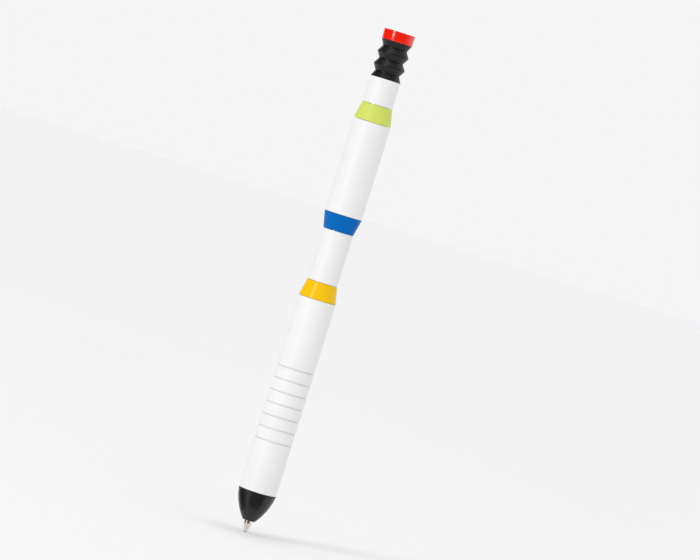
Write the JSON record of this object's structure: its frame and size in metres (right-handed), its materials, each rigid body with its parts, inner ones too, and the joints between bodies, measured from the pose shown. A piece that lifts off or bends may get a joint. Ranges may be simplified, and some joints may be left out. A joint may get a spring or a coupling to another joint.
{
  "type": "click ball pen",
  "caption": "Slim round retractable ball pen: white barrel, tapered coloured trim rings, black nose, rubber bellows under a red push button.",
  "frame": {"origin": "lowest point of the writing ball, on the pen's axis, tip out", "axes": "+Z along the pen's axis, from the writing ball to the push button"},
  "size_m": [0.0104, 0.0104, 0.14],
  "materials": {
    "white_lacquer": "satin",
    "black_nose": "satin",
    "yellow_ring": "gloss",
    "blue_ring": "gloss",
    "green_ring": "gloss",
    "red_cap": "gloss",
    "black_rubber": "matte",
    "point_metal": "polished",
    "ball_metal": "polished",
    "spring_steel": "polished",
    "brass": "turned",
    "core_metal": "drawn",
    "refill_metal": "satin",
    "ink": "wet",
    "refill_plastic": "moulded",
    "mechanism_plastic": "moulded"
  },
  "bodies": {
    "barrel": {"front_sleeve": "white_lacquer", "thread_insert": "brass", "core_tube": "core_metal", "yellow_ring": "yellow_ring", "middle_sleeve": "white_lacquer", "blue_ring": "blue_ring", "rear_sleeve": "white_lacquer", "green_ring": "green_ring", "top_sleeve": "white_lacquer", "stem_bushing": "mechanism_plastic", "guide_sleeve": "mechanism_plastic", "bellows": "black_rubber"},
    "spring": {"return_spring": "spring_steel"},
    "nose": {"nose_cone": "black_nose"},
    "refill": {"refill_tip": "point_metal", "refill_tube": "refill_metal", "ink_column": "ink", "refill_plug": "refill_plastic"},
    "ball": {"writing_ball": "ball_metal"},
    "cam": {"cam_rotor": "mechanism_plastic"},
    "button": {"plunger": "mechanism_plastic", "red_cap": "red_cap"}
  },
  "joints": [
    {"name": "button_press", "type": "slide", "parent": "barrel", "child": "button", "axis": [0, 0, -1], "range_m": [0, 0.005], "stiffness_N_per_m": 500, "springref_m": -0.0004, "deforming": ["bellows"]},
    {"name": "refill_slide", "type": "slide", "parent": "barrel", "child": "refill", "axis": [0, 0, -1], "range_m": [-0.0048, 0.0008], "deforming": ["return_spring"]},
    {"name": "cam_turn", "type": "hinge", "parent": "refill", "child": "cam", "pos_m": [0, 0, 0.098], "axis": [0, 0, 1], "continuous": true},
    {"name": "ball_spin", "type": "hinge", "parent": "refill", "child": "ball", "pos_m": [0, 0, 0.0005], "axis": [1, 0, 0], "continuous": true},
    {"name": "nose_travel", "type": "slide", "parent": "barrel", "child": "spring", "axis": [0, 0, -1], "range_m": [0, 0.004]},
    {"name": "nose_turn", "type": "hinge", "parent": "spring", "child": "nose", "pos_m": [0, 0, 0.0115], "axis": [0, 0, -1], "range_deg": [0, 1440.5]}
  ],
  "couplings": [
    {"joint": "nose_turn", "follows": "nose_travel", "rad_per_m": 6283.2}
  ]
}
